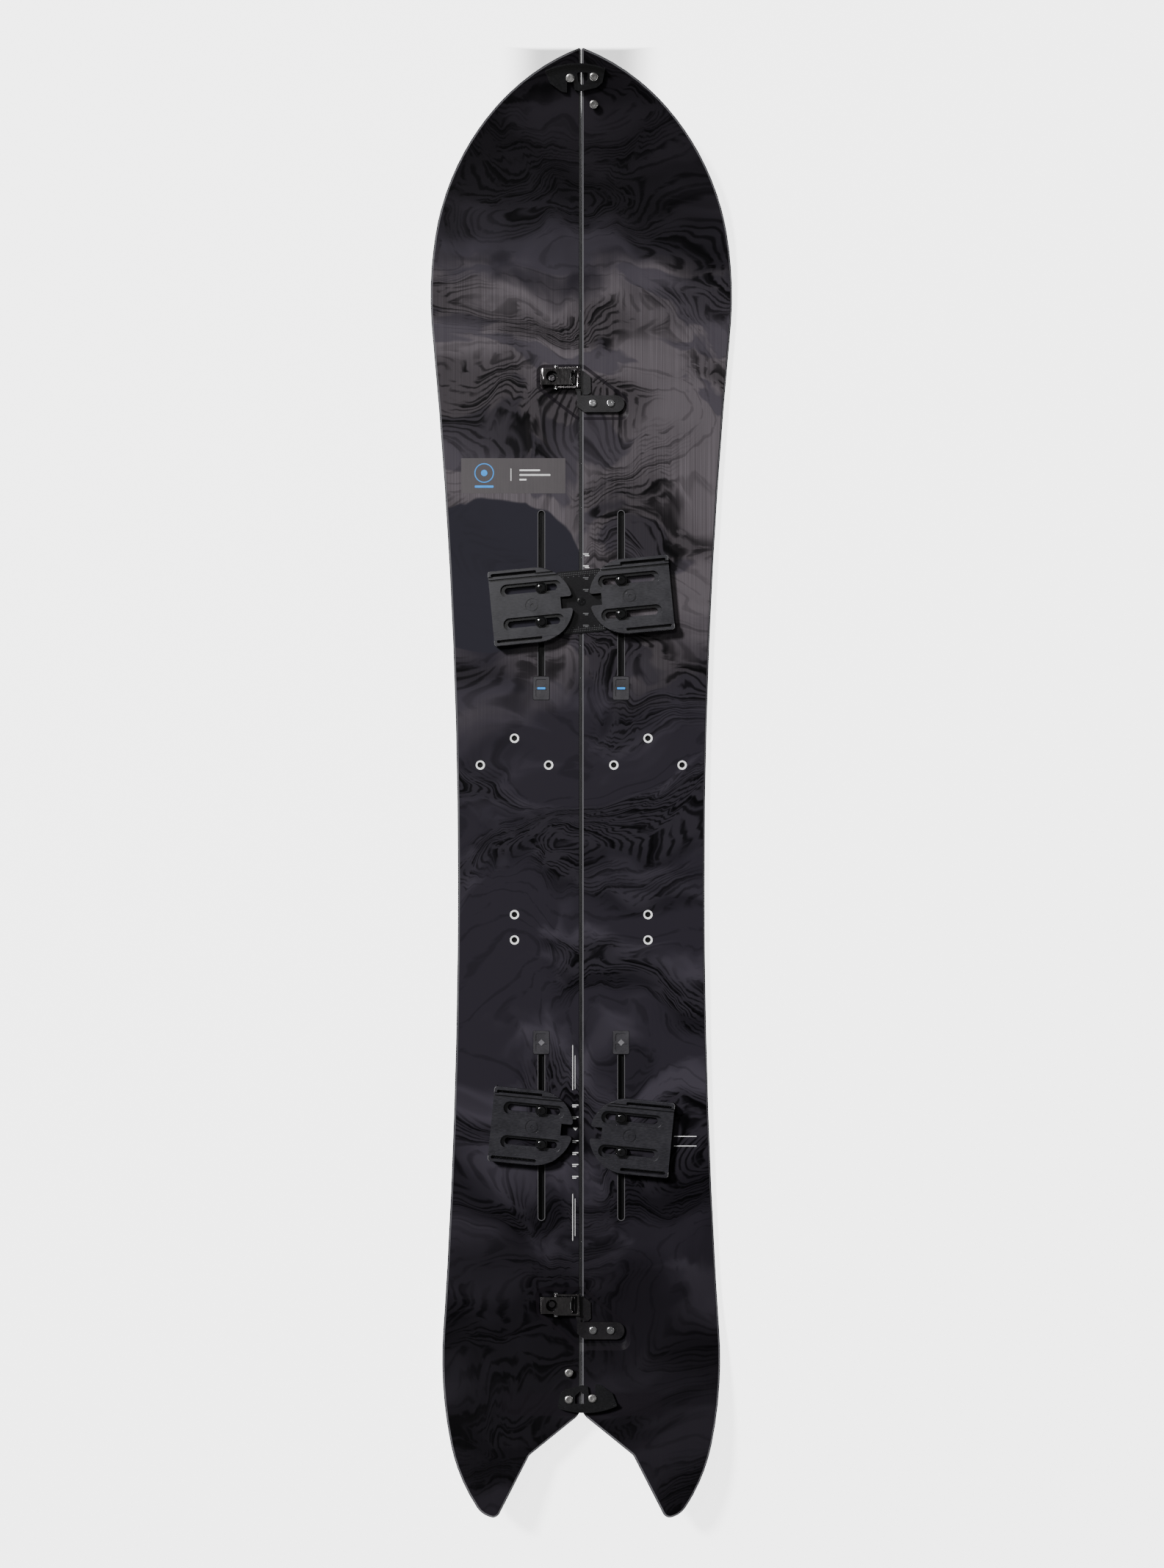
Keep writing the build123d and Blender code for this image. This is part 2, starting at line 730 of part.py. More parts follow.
def lever():
    """The latch lever: a skin bent down at its finger end, on two side walls."""
    inner_top = lever_top - lever_skin
    right_foot = (lever_right, lever_wall_bottom)
    left_foot = (lever_left, lever_wall_bottom)
    shell_line = FilletPolyline(
        right_foot, (lever_right, lever_top), (lever_left, lever_top), left_foot, radius=[0.8, 4]
    )
    profile = Plane.XZ * make_face([*shell_line.edges(), Line(left_foot, right_foot)])
    wall_span = (latch_v - lever_wall_outer, latch_v + lever_wall_outer)
    body = Pos(0, latch_v, 0) * extrude(profile, lever_wall_outer, both=True)
    body = body + cross_rod(lever_lobe_radius, lever_pivot_x, lever_pivot_z, wall_span)
    y_span = (latch_v - lever_wall_inner, latch_v + lever_wall_inner)
    hollow = block((lever_left + lever_skin, 0), y_span, (-5, inner_top))
    body = body - hollow
    body = body - rod(lever_window_radius, 0, 2 * lever_top, lever_window_x, latch_v)
    bite_x = lever_right + lever_bite_radius / 2
    body = body - rod(lever_bite_radius, 0, 2 * lever_top, bite_x, latch_v)
    y_all = (latch_v - 2 * lever_wall_outer, latch_v + 2 * lever_wall_outer)
    body = body - cross_rod(pin_radius + running_gap, lever_pivot_x, lever_pivot_z, y_all)
    return body - cross_rod(hook_rivet_radius, hook_pivot_x, hook_pivot_z, y_all)


def lever_pin():
    """The pin that the lever turns on."""
    reach = lever_wall_outer - fit_gap
    return cross_rod(pin_radius, lever_pivot_x, lever_pivot_z, (latch_v - reach, latch_v + reach))


def hook_rivets():
    """The two rivets that the draw hook turns on, one each side of the lever."""
    solids = []
    for sense in (-1, 1):
        neck = hook_arm_outer + slide_gap
        shank = sorted((latch_v + sense * lever_wall_inner, latch_v + sense * neck))
        head = sorted((latch_v + sense * neck, latch_v + sense * (neck + rivet_head_height)))
        rivet = cross_rod(hook_rivet_radius, hook_pivot_x, hook_pivot_z, shank)
        solids.append(rivet + cross_rod(rivet_head_radius, hook_pivot_x, hook_pivot_z, head))
    return solids


def draw_hook():
    """A bail: two flat arms outside the lever, joined by the bar that draws on the keeper."""
    run = hook_bar_x - hook_pivot_x
    rise = hook_bar_z - hook_pivot_z
    length = sqrt(run ** 2 + rise ** 2)
    lean = degrees(asin(rise / length))
    bar_span = (latch_v - hook_arm_outer, latch_v + hook_arm_outer)
    body = cross_rod(hook_bar_radius, hook_bar_x, hook_bar_z, bar_span)
    for sense in (-1, 1):
        span = sorted((latch_v + sense * hook_arm_inner, latch_v + sense * hook_arm_outer))
        arm = block((0, length), span, (-hook_arm_height / 2, hook_arm_height / 2))
        body = body + Pos(hook_pivot_x, 0, hook_pivot_z) * Rot(Y=-lean) * arm
        body = body + cross_rod(hook_eye_radius, hook_pivot_x, hook_pivot_z, span)
        body = body + cross_rod(hook_corner_radius, hook_bar_x, hook_bar_z + hook_corner_rise, span)
    y_all = (latch_v - 2 * hook_arm_outer, latch_v + 2 * hook_arm_outer)
    return body - cross_rod(hook_rivet_radius + running_gap, hook_pivot_x, hook_pivot_z, y_all)


def keeper_plate():
    """Plate on the right ski: a screwed pad, and an arm over the left ski with an upturned lip."""
    floor = -dish_depth
    (pad_left, pad_right), (pad_low, pad_high) = keeper_pad_x, keeper_pad_y
    height = pad_high - pad_low
    pad_line = Polyline(
        (pad_left, pad_high), (pad_left, pad_low + 6), (pad_left + 8, pad_low),
        (pad_right, pad_low), (pad_right, pad_high), close=True,
    )
    pad = make_face(pad_line.edges())
    pad = fillet(pad.vertices().group_by(Axis.X)[-1], height / 2 - 0.2)
    body = raised(pad, floor, keeper_top)
    body = body - block((-20, seam_gap), (-40, 40), (-10, floor + cross_gap))
    lip_low = latch_v - keeper_lip_half_width
    lip_high = latch_v + keeper_lip_half_width
    lip_left, lip_right = keeper_lip_x
    arm_line = Polyline(
        (lip_left, lip_high), (lip_left, lip_low), (pad_left, -2), (pad_left, pad_low + 8),
        (-0.6, pad_low + 8), (-0.6, lip_high), close=True,
    )
    body = body + raised(make_face(arm_line.edges()), keeper_web_bottom, keeper_top)
    lip_radius = (lip_right - lip_left) / 2
    lip_z = keeper_lip_top - lip_radius
    body = body + block(keeper_lip_x, (lip_low, lip_high), (keeper_web_bottom, lip_z))
    body = body + cross_rod(lip_radius, lip_left + lip_radius, lip_z, (lip_low, lip_high))
    for x in keeper_screw_xs:
        body = body - rod(latch_screw_radius, -thickness, thickness, x, keeper_screw_y)
    return body


# ================================================================ assembly
def all_pieces():
    """Every node's name and shape, in the board's frame."""
    pieces = {}
    for side_name, side in SIDES.items():
        pieces.update(board_half(side_name))
        pieces[side_name + "_threaded_inserts"] = placed(Pos(0, 0, 0), threaded_inserts(side))
    for name, frame in channel_frames().items():
        pieces[name + "_channel_rail"] = placed(frame, channel_rail())
        pieces[name + "_channel_plug"] = placed(frame, channel_plug())
    for name, frame in puck_frames().items():
        pieces[name + "_puck"] = placed(frame, puck())
    for name, frame in bolt_frames().items():
        pieces[name + "_puck_bolts"] = placed(frame, puck_bolts())
        pieces[name + "_channel_nuts"] = placed(frame, channel_nuts())
    pieces["stance_template"] = stance_template()
    for end, frame in clip_frames().items():
        pieces[end + "_clip"] = placed(frame, tip_clip())
        pieces[end + "_clip_pivot_bolt"] = placed(frame, clip_pivot_bolt())
        pieces[end + "_clip_post"] = placed(frame * Pos(*clip_post_offset), headed_stud())
        pieces[end + "_clip_parking_stud"] = placed(frame * Pos(*clip_stud_offset), headed_stud())
    for end, frame in latch_frames().items():
        plate_top = base_plate_height - dish_depth
        pieces[end + "_latch_base"] = placed(frame, latch_base())
        pieces[end + "_latch_base_screws"] = placed(frame, latch_screws(base_screw_xs, latch_v, plate_top))
        pieces[end + "_latch_lever"] = placed(frame, lever())
        pieces[end + "_lever_pin"] = placed(frame, lever_pin())
        pieces[end + "_draw_hook"] = placed(frame, draw_hook())
        pieces[end + "_hook_rivets"] = placed(frame, hook_rivets())
        pieces[end + "_keeper_plate"] = placed(frame, keeper_plate())
        screws = latch_screws(keeper_screw_xs, keeper_screw_y, keeper_top)
        pieces[end + "_keeper_screws"] = placed(frame, screws)
    return pieces


def main():
    os.makedirs("parts", exist_ok=True)
    for name, shape in all_pieces().items():
        export_step(shape, "parts/" + name + ".step")


main()
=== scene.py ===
import json
import math

import bmesh
import bpy
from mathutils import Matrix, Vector


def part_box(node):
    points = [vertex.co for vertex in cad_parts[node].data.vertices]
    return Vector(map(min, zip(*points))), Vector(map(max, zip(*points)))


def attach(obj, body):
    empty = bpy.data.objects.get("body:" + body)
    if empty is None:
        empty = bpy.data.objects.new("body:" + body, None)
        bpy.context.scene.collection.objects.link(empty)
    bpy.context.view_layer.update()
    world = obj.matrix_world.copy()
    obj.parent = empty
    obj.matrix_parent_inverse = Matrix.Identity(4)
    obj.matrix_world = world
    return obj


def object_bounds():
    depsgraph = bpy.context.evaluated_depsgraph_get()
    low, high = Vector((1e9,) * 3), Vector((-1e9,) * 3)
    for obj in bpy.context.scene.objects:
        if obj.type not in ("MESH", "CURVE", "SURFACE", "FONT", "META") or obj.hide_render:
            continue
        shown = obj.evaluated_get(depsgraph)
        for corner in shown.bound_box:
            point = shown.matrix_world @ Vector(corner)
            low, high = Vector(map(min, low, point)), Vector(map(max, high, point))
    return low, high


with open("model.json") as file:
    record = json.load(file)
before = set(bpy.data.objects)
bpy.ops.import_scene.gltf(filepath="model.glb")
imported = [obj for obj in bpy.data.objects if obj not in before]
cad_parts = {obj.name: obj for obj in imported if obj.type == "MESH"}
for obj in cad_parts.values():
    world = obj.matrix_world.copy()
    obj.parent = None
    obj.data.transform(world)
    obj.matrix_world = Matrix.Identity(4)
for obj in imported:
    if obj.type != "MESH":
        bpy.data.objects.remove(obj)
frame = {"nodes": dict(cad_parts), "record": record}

CAD_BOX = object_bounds()
RECORD = frame["record"]
NODES = frame["nodes"]
# Lengths are in metres, in the CAD's own frame: X to the right, Y to the nose, Z up from the ground.
DECK = 0.008                # height of the level part of the deck
TAIL_BEND_START = 0.5215    # how far behind the middle the tail starts to rise
TAIL_BEND_RADIUS = 0.5505   # radius of the deck's bend there
MARK = 0.00006              # thickness of a printed mark


# ------------------------------------------------------------------ shader helpers
class Graph:
    """Builds one procedural material a node at a time."""

    def __init__(self, name):
        self.mat = bpy.data.materials.new(name)
        self.mat.use_nodes = True
        self.tree = self.mat.node_tree
        self.shader = self.tree.nodes["Principled BSDF"]
        coords = self.tree.nodes.new("ShaderNodeTexCoord")
        self.place = coords.outputs["Object"]
        split = self.tree.nodes.new("ShaderNodeSeparateXYZ")
        self.tree.links.new(self.place, split.inputs[0])
        self.x, self.y, self.z = split.outputs

    def put(self, socket, value):
        if isinstance(value, bpy.types.NodeSocket):
            self.tree.links.new(value, socket)
        else:
            socket.default_value = value

    def set(self, name, value):
        self.put(self.shader.inputs[name], value)

    def math(self, op, a, b=0.0):
        node = self.tree.nodes.new("ShaderNodeMath")
        node.operation = op
        self.put(node.inputs[0], a)
        self.put(node.inputs[1], b)
        return node.outputs[0]

    def vec(self, op, a, b):
        node = self.tree.nodes.new("ShaderNodeVectorMath")
        node.operation = op
        self.put(node.inputs[0], a)
        self.put(node.inputs[1], b)
        return node.outputs[0]

    def noise(self, scale, detail=2.0, rough=0.5, at=None, stretch=None):
        where = at or self.place
        if stretch:
            where = self.vec("MULTIPLY", where, stretch)
        node = self.tree.nodes.new("ShaderNodeTexNoise")
        self.put(node.inputs["Vector"], where)
        node.inputs["Scale"].default_value = scale
        node.inputs["Detail"].default_value = detail
        node.inputs["Roughness"].default_value = rough
        return node

    def step(self, value, low, high, out_low=0.0, out_high=1.0):
        node = self.tree.nodes.new("ShaderNodeMapRange")
        node.interpolation_type = "SMOOTHSTEP"
        self.put(node.inputs[0], value)
        for index, number in enumerate((low, high, out_low, out_high), 1):
            node.inputs[index].default_value = number
        return node.outputs[0]

    def mix(self, share, a, b):
        node = self.tree.nodes.new("ShaderNodeMix")
        node.data_type = "RGBA"
        self.put(node.inputs[0], share)
        self.put(node.inputs[6], a if isinstance(a, bpy.types.NodeSocket) else (*a, 1))
        self.put(node.inputs[7], b if isinstance(b, bpy.types.NodeSocket) else (*b, 1))
        return node.outputs[2]

    def bump(self, height, strength, distance=0.0002):
        node = self.tree.nodes.new("ShaderNodeBump")
        node.inputs["Strength"].default_value = strength
        node.inputs["Distance"].default_value = distance
        self.put(node.inputs["Height"], height)
        self.set("Normal", node.outputs[0])


def surface(
    name, dark, light, rough, metal=0.0, grain=900, stretch=(1, 1, 1), bump=0.15, spec=0.5, coat=0.0
):
    """A material with a fine grain in its tone, gloss and height, and a slow cloud in its tone and gloss."""
    g = Graph(name)
    fine = g.noise(grain, 3, 0.6, stretch=stretch).outputs[0]
    slow = g.noise(grain * 0.06, 2, 0.5).outputs[0]
    both = g.math("ADD", g.math("MULTIPLY", fine, 0.6), g.math("MULTIPLY", slow, 0.4))
    g.set("Base Color", g.mix(g.step(both, 0.3, 0.7), dark, light))
    g.set("Roughness", g.step(both, 0.25, 0.75, rough[0], rough[1]))
    g.set("Metallic", metal)
    g.set("Specular IOR Level", spec)
    g.set("Coat Weight", coat)
    g.set("Coat Roughness", 0.12)
    g.bump(fine, bump, 0.00012)
    return g.mat


# Colours of the deck print; "tail" and "nose" are painted shade, for the tips and the recess walls.
TONES = {
    "deck_low": (0.0165, 0.0145, 0.0198),
    "deck_high": (0.0350, 0.0312, 0.0405),
    "warm_low": (0.054, 0.047, 0.052),
    "warm_high": (0.096, 0.085, 0.094),
    "pool": (0.0165, 0.0155, 0.0215),
    "tail": (0.0040, 0.0033, 0.0046),
    "nose": (0.0085, 0.0072, 0.0092),
    "vein": (0.0005, 0.0004, 0.0007),
}


# Zones of the deck print along Y, and of the painted shade at the tail and the nose.
WARM_FADES = ((0.08, 0.17), (0.50, 0.58))
TAIL_SHADE_FADE = (-0.60, -0.36)
NOSE_SHADE_FADE = (0.50, 0.66)
TIP_SHADE = 0.80
# The blue-black pool left of the seam: its centre, its reach each way and how much flatter it is below.
POOL_CENTRE = (-0.100, 0.215)
POOL_REACH = (0.106, 0.095)
POOL_FLATTENING = -1.40
# The recesses round the latches: depth band of their walls, where painted shade darkens them, and the part of
# the deck they are in.
WALL_TOP = (0.00004, 0.00016)
WALL_FOOT = (0.00104, 0.00116)
WALL_BEFORE_Y = (0.46, 0.47)
WALL_WITHIN_X = (0.08, 0.09)
BRUSHED = (2300, 5, 1)
BRUSHED_BUMP = (2300, 30, 1)


def topsheet():
    """Charcoal marbled print: streams of dark contour lines, one smooth pool, a warm brushed upper third;
    painted shade darkens the tail, the nose and the recess walls.
    """
    g = Graph("topsheet")
    half = (0.5, 0.5, 0.5)

    def warp(at, scale, amount):
        push = g.vec("SUBTRACT", g.noise(scale, 2.0, 0.5, at=at).outputs["Color"], half)
        return g.vec("ADD", at, g.vec("MULTIPLY", push, (amount, amount, 0)))

    flow = warp(g.place, 2.4, 0.30)
    flow = warp(flow, 6.5, 0.125)
    flow = warp(flow, 19.0, 0.034)
    rough_flow = warp(warp(flow, 60.0, 0.0085), 190.0, 0.0022)

    # contour lines are the level lines of one slow field; they show in streams and have breaks
    field = g.noise(1, 0.6, 0.4, at=rough_flow, stretch=(3.6, 7.5, 1)).outputs[0]
    streams = g.step(g.noise(1, 1.6, 0.5, at=flow, stretch=(4.4, 10.0, 1)).outputs[0], 0.43, 0.57)
    breaks = g.step(g.noise(1, 3, 0.6, at=rough_flow, stretch=(24, 60, 1)).outputs[0], 0.40, 0.50)
    close = g.math("PINGPONG", g.math("MULTIPLY", field, 170), 1)
    wide = g.math("PINGPONG", g.math("MULTIPLY", field, 38), 1)
    fine_lines = g.math("MULTIPLY", g.step(close, 0.15, 0.60, 1, 0), g.math("MULTIPLY", streams, breaks))
    mostly_streams = g.math("ADD", g.math("MULTIPLY", streams, 0.7), 0.3)
    bold_share = g.math("MULTIPLY", breaks, mostly_streams)
    bold_lines = g.math("MULTIPLY", g.step(wide, 0.08, 0.26, 1, 0), bold_share)
    tone = g.noise(1, 3.5, 0.55, at=rough_flow, stretch=(5, 11, 1)).outputs[0]

    wobble = g.math("SUBTRACT", g.noise(9, 3, 0.5, at=flow).outputs[0], 0.5)
    edge = g.math("ADD", g.y, g.math("MULTIPLY", wobble, 0.30))
    brush = g.noise(1, 2, 0.7, stretch=BRUSHED).outputs[0]
    cool = g.mix(g.step(tone, 0.44, 0.56), TONES["deck_low"], TONES["deck_high"])
    warm = g.mix(g.step(brush, 0.30, 0.70), TONES["warm_low"], TONES["warm_high"])
    islands = g.step(tone, 0.51, 0.54, 1, 0)
    upper = g.math("MULTIPLY", g.step(edge, *WARM_FADES[0]), g.step(edge, *WARM_FADES[1], 1, 0))
    warm_share = g.math("MULTIPLY", upper, g.math("ADD", g.math("MULTIPLY", islands, 0.75), 0.25))
    base = g.mix(warm_share, cool, warm)

    # painted shade: the deck darkens into the tail and the nose, where the tips bend up
    base = g.mix(g.step(edge, *TAIL_SHADE_FADE, TIP_SHADE, 0.0), base, TONES["tail"])
    base = g.mix(g.step(edge, *NOSE_SHADE_FADE, 0.0, TIP_SHADE), base, TONES["nose"])

    # blue-black pool left of the seam beside the front pucks
    across = g.math("DIVIDE", g.math("ADD", g.x, -POOL_CENTRE[0]), POOL_REACH[0])
    up = g.math("DIVIDE", g.math("SUBTRACT", g.y, POOL_CENTRE[1]), POOL_REACH[1])
    along = g.math("MAXIMUM", up, g.math("MULTIPLY", up, POOL_FLATTENING))
    reach = g.math("ADD", g.math("MULTIPLY", across, across), g.math("MULTIPLY", along, along))
    reach = g.math("ADD", reach, g.math("MULTIPLY", wobble, 1.2))
    pool = g.math("MULTIPLY", g.step(reach, 0.97, 1.03, 1, 0), g.step(g.x, -0.0004, 0.0004, 1, 0))
    base = g.mix(pool, base, TONES["pool"])
    calm = g.math("SUBTRACT", 1.0, g.math("MULTIPLY", pool, 0.9))

    for lines, depth in ((streams, 0.50), (fine_lines, 0.80), (bold_lines, 0.85)):
        base = g.mix(g.math("MULTIPLY", g.math("MULTIPLY", lines, depth), calm), base, TONES["vein"])

    # the sloping walls of the recesses round the latches: painted shade makes them darker than the deck, and
    # they are glossier
    past = g.math("MAXIMUM", g.math("SUBTRACT", g.math("MULTIPLY", g.y, -1.0), TAIL_BEND_START), 0.0)
    level = g.math("SQRT", g.math("SUBTRACT", TAIL_BEND_RADIUS ** 2, g.math("MULTIPLY", past, past)))
    deck = g.math("SUBTRACT", DECK + TAIL_BEND_RADIUS, level)
    sunk = g.math("SUBTRACT", deck, g.z)
    shaded_wall = g.math("MULTIPLY", g.step(sunk, *WALL_TOP), g.step(sunk, *WALL_FOOT, 1, 0))
    by_seam = g.step(g.math("ABSOLUTE", g.x), *WALL_WITHIN_X, 1, 0)
    near = g.math("MULTIPLY", g.step(g.y, *WALL_BEFORE_Y, 1, 0), by_seam)
    shaded_wall = g.math("MULTIPLY", shaded_wall, near)
    # painted shade on the recess walls, in the nose tone
    g.set("Base Color", g.mix(g.math("MULTIPLY", shaded_wall, 0.72), base, TONES["nose"]))
    satin = g.step(brush, 0.2, 0.8, 0.40, 0.52)
    g.set("Roughness", g.math("SUBTRACT", satin, g.math("MULTIPLY", shaded_wall, 0.22)))
    g.set("Specular IOR Level", 0.05)
    g.bump(g.noise(1, 2, 0.6, stretch=BRUSHED_BUMP).outputs[0], 0.05)
    return g.mat


def laminate():
    """The cut rim of the glass laminate: pale all round, with painted shade along the left ski's seam edge, in
    the gap between the halves.
    """
    g = Graph("laminate_rim")
    fibre = g.noise(1, 3, 0.7, stretch=(2600, 260, 900)).outputs[0]
    pale = g.mix(fibre, (0.040, 0.039, 0.045), (0.105, 0.102, 0.112))
    # painted shade along the left ski's seam edge, in the gap between the halves
    by_seam = g.math("MULTIPLY", g.step(g.x, -0.012, -0.006), g.step(g.x, -0.0002, 0.0, 1, 0))
    g.set("Base Color", g.mix(by_seam, pale, (0.012, 0.012, 0.013)))
    g.set("Roughness", g.step(fibre, 0.2, 0.8, 0.45, 0.65))
    g.bump(fibre, 0.2, 0.0001)
    return g.mat


def channel():
    """Black rail whose thin lips, level with the deck, are paler."""
    g = Graph("channel_black")
    grain = g.noise(1, 3, 0.6, stretch=(900, 60, 900)).outputs[0]
    lip = g.step(g.z, 0.00785, 0.00795)
    black = g.mix(grain, (0.0010, 0.0010, 0.0012), (0.0030, 0.0030, 0.0034))
    g.set("Base Color", g.mix(g.math("MULTIPLY", lip, 0.9), black, (0.085, 0.082, 0.088)))
    g.set("Roughness", g.step(grain, 0.25, 0.75, 0.30, 0.46))
    g.set("Specular IOR Level", 0.2)
    g.bump(grain, 0.1, 0.0001)
    return g.mat


def wood():
    """Lengthwise softwood strips, each its own tone, with grain."""
    g = Graph("core_wood")
    strip = g.math("FLOOR", g.math("MULTIPLY", g.x, 95))
    tone = g.math("FRACT", g.math("MULTIPLY", g.math("SINE", g.math("MULTIPLY", strip, 12.9)), 43.7))
    grain = g.noise(1, 4, 0.6, stretch=(700, 14, 400)).outputs[0]
    both = g.math("ADD", g.math("MULTIPLY", tone, 0.45), g.math("MULTIPLY", grain, 0.55))
    g.set("Base Color", g.mix(both, (0.42, 0.27, 0.13), (0.68, 0.52, 0.32)))
    g.set("Roughness", g.step(grain, 0.2, 0.8, 0.5, 0.7))
    g.bump(grain, 0.25, 0.0002)
    return g.mat


def base_sheet():
    """Dark sintered base with a fine lengthwise stone-ground structure."""
    g = Graph("base_sheet")
    ground = g.noise(1, 3, 0.7, stretch=(2200, 24, 300)).outputs[0]
    flow = g.step(g.noise(1, 3, 0.5, stretch=(8, 3, 1)).outputs[0], 0.4, 0.62)
    dark = g.mix(ground, (0.012, 0.012, 0.014), (0.024, 0.024, 0.027))
    g.set("Base Color", g.mix(flow, dark, (0.048, 0.046, 0.052)))
    g.set("Roughness", g.step(ground, 0.2, 0.8, 0.34, 0.5))
    g.bump(ground, 0.2, 0.0001)
    return g.mat


def insert_steel():
    """Bright flat collar level with the deck; down the threaded hole the steel is painted dark, as painted
    shade in the hole.
    """
    g = Graph("insert_steel")
    grain = g.noise(1500, 3, 0.6).outputs[0]
    bright = g.mix(grain, (0.80, 0.80, 0.80), (0.93, 0.93, 0.93))
    # painted shade: the steel inside the threaded hole
    dark = g.mix(grain, (0.006, 0.0055, 0.006), (0.03, 0.028, 0.03))
    per_pitch = 1000
    thread = g.math("PINGPONG", g.math("MULTIPLY", g.z, per_pitch), 0.5)
    g.set("Base Color", g.mix(g.step(g.z, 0.0072, 0.0077), dark, bright))
    g.set("Roughness", g.step(grain, 0.25, 0.75, 0.35, 0.5))
    g.bump(thread, 0.3, 0.0003)
    return g.mat


# One material for each of the record's material slots.
MATERIALS = {
    "topsheet": topsheet(),
    "laminate": laminate(),
    "channel_black": channel(),
    "core_wood": wood(),
    "base_sheet": base_sheet(),
    "sidewall": surface(
        "sidewall", (0.006, 0.006, 0.007), (0.014, 0.014, 0.016), (0.4, 0.6), stretch=(1, 0.05, 1)
    ),
    "edge_steel": surface(
        "edge_steel", (0.28, 0.28, 0.30), (0.46, 0.46, 0.48), (0.25, 0.42), 1, 1200, (1, 0.04, 1)
    ),
    "insert_steel": insert_steel(),
    "plug_grey": surface(
        "plug_grey", (0.017, 0.016, 0.019), (0.036, 0.034, 0.039), (0.38, 0.54), grain=1400, spec=0.35
    ),
    "puck_nylon": surface(
        "puck_nylon", (0.0088, 0.0083, 0.0108), (0.0200, 0.0190, 0.0235), (0.30, 0.42),
        stretch=(0.25, 1, 1), bump=0.06, coat=0.25,
    ),
    "bolt_black": surface(
        "bolt_black", (0.0015, 0.0015, 0.0018), (0.004, 0.004, 0.0045), (0.06, 0.14), coat=0.8
    ),
    "nut_steel": surface("nut_steel", (0.18, 0.18, 0.19), (0.32, 0.32, 0.33), (0.3, 0.5), 1),
    "template_black": surface(
        "template_black", (0.0020, 0.0018, 0.0024), (0.0045, 0.0042, 0.0052), (0.30, 0.44), grain=700, spec=0.2
    ),
    "clip_black": surface(
        "clip_black", (0.0020, 0.0020, 0.0024), (0.005, 0.005, 0.0058), (0.10, 0.22), grain=500, coat=0.6
    ),
    "stud_steel": surface("stud_steel", (0.42, 0.41, 0.40), (0.62, 0.61, 0.60), (0.18, 0.34), 1, 1600),
    "latch_nickel": surface(
        "latch_nickel", (0.13, 0.122, 0.124), (0.22, 0.207, 0.210), (0.07, 0.17), 1, 700, (1, 0.2, 1)
    ),
    "latch_dark": surface(
        "latch_dark", (0.004, 0.0034, 0.0042), (0.010, 0.0088, 0.0105), (0.26, 0.42), 0.2, 1000
    ),
    "screw_steel": surface("screw_steel", (0.60, 0.60, 0.61), (0.80, 0.80, 0.81), (0.10, 0.22), 1, 1500),
}
# Inks of the printed marks.
PRINT_WHITE = surface(
    "print_white", (0.62, 0.62, 0.62), (0.78, 0.78, 0.78), (0.4, 0.55), grain=2600, bump=0.05
)
PRINT_DIM = surface("print_dim", (0.07, 0.07, 0.075), (0.12, 0.12, 0.125), (0.4, 0.55), grain=2600, bump=0.05)
PRINT_BLUE = surface("print_blue", (0.0, 0.20, 0.62), (0.0, 0.27, 0.76), (0.4, 0.55), grain=2600, bump=0.05)
PRINT_PATCH = surface(
    "print_patch", (0.032, 0.026, 0.029), (0.041, 0.034, 0.037), (0.42, 0.52),
    stretch=(1, 0.02, 1), bump=0.05,
)
# Painted highlight: paler softened edges, for the slots that have one.
EDGE_HIGHLIGHT = {
    "puck_nylon": surface(
        "puck_rim", (0.045, 0.043, 0.049), (0.095, 0.091, 0.102), (0.16, 0.30), grain=1500, spec=0.7
    ),
    "clip_black": surface(
        "clip_rim", (0.020, 0.020, 0.022), (0.070, 0.069, 0.073), (0.08, 0.18), grain=1500, spec=0.8
    ),
    "latch_nickel": surface("latch_rim", (0.55, 0.52, 0.49), (0.78, 0.74, 0.70), (0.10, 0.20), 1, 1500),
    "latch_dark": surface("keeper_rim", (0.020, 0.018, 0.021), (0.055, 0.050, 0.056), (0.16, 0.30), 0.3, 1500),
}
# a paler grey for the lozenge on each rear plug
LOZENGE_GREY = surface("plug_lozenge_grey", (0.10, 0.097, 0.105), (0.16, 0.155, 0.165), (0.25, 0.4), grain=1500)
LATCH_SCREW = surface("latch_screw", (0.10, 0.095, 0.10), (0.20, 0.19, 0.20), (0.12, 0.26), 1, 1500)

# ------------------------------------------------------------------ CAD nodes: materials and softened edges
SOFT_EDGES = {
    "puck_nylon": 0.0005,
    "clip_black": 0.0003,
    "latch_nickel": 0.00025,
    "latch_dark": 0.0002,
    "plug_grey": 0.0002,
}
WELD_REACH = 0.000002
SHARP_ANGLE = math.radians(35)
for part in RECORD["subparts"]:
    node = NODES[part["node"]]
    for slot in node.material_slots:
        slot.material = MATERIALS[part["material_slot"]]
        if part["node"].endswith("latch_base_screws"):
            slot.material = LATCH_SCREW
    width = SOFT_EDGES.get(part["material_slot"])
    if width:
        weld = node.modifiers.new("weld", "WELD")
        weld.merge_threshold = WELD_REACH
        soft = node.modifiers.new("soft_edges", "BEVEL")
        soft.width = width
        soft.segments = 2
        soft.limit_method = "ANGLE"
        soft.angle_limit = SHARP_ANGLE
        soft.use_clamp_overlap = True
        # painted highlight on the softened edges
        rim = EDGE_HIGHLIGHT.get(part["material_slot"])
        if rim:
            node.data.materials.append(rim)
            soft.material = len(node.data.materials) - 1


